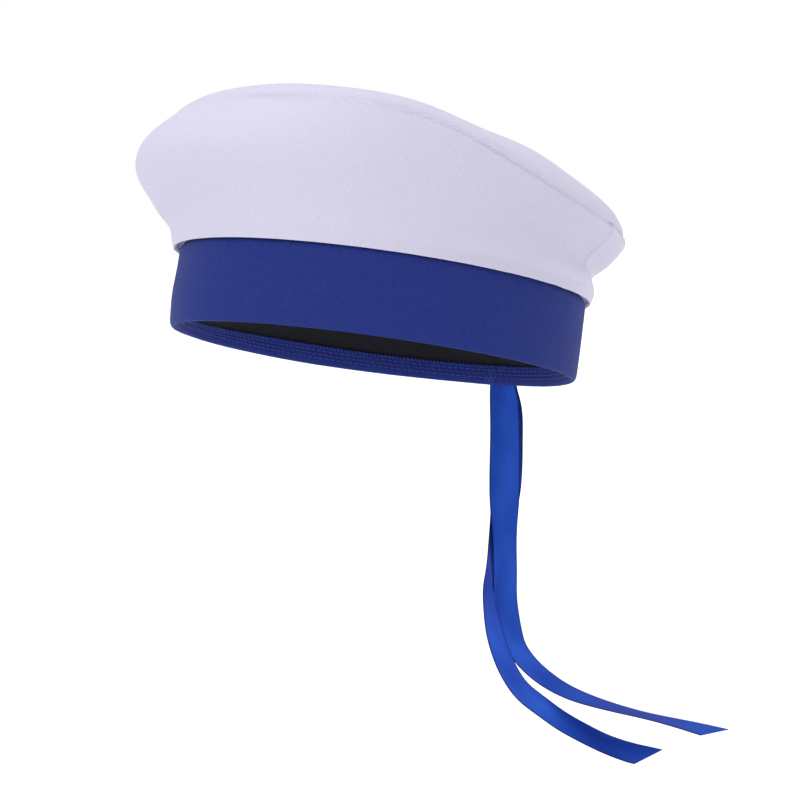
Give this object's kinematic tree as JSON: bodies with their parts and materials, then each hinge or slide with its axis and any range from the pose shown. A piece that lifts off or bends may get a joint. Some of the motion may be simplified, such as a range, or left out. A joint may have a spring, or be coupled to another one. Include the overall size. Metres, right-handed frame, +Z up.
{
  "type": "sailor cap",
  "caption": "Soft round cap with a puffed white crown, a blue head band with a lined inside and two long satin ribbons hanging from the back.",
  "frame": {"origin": "the middle of the opening at the rim, where the head goes in", "axes": "+Z up as worn, the cap tipped back 11.6 degrees; the wearer faces -Y and the wearer's left is +X"},
  "size_m": [0.2179, 0.2664, 0.3223],
  "materials": {
    "crown_twill": "white polyester gabardine, fine twill weave, matte with a faint sheen",
    "band_cloth": "royal blue polyester cloth, fine weave, matte",
    "lining_cloth": "black cotton, plain weave, matte",
    "ribbon_satin": "royal blue polyester satin, glossy, woven edges"
  },
  "bodies": {
    "root": {"band": "band_cloth", "band_lining": "lining_cloth", "crown_side_front": "crown_twill", "crown_side_back": "crown_twill", "crown_top": "crown_twill", "ribbon_right": "ribbon_satin", "ribbon_left": "ribbon_satin"}
  },
  "joints": []
}
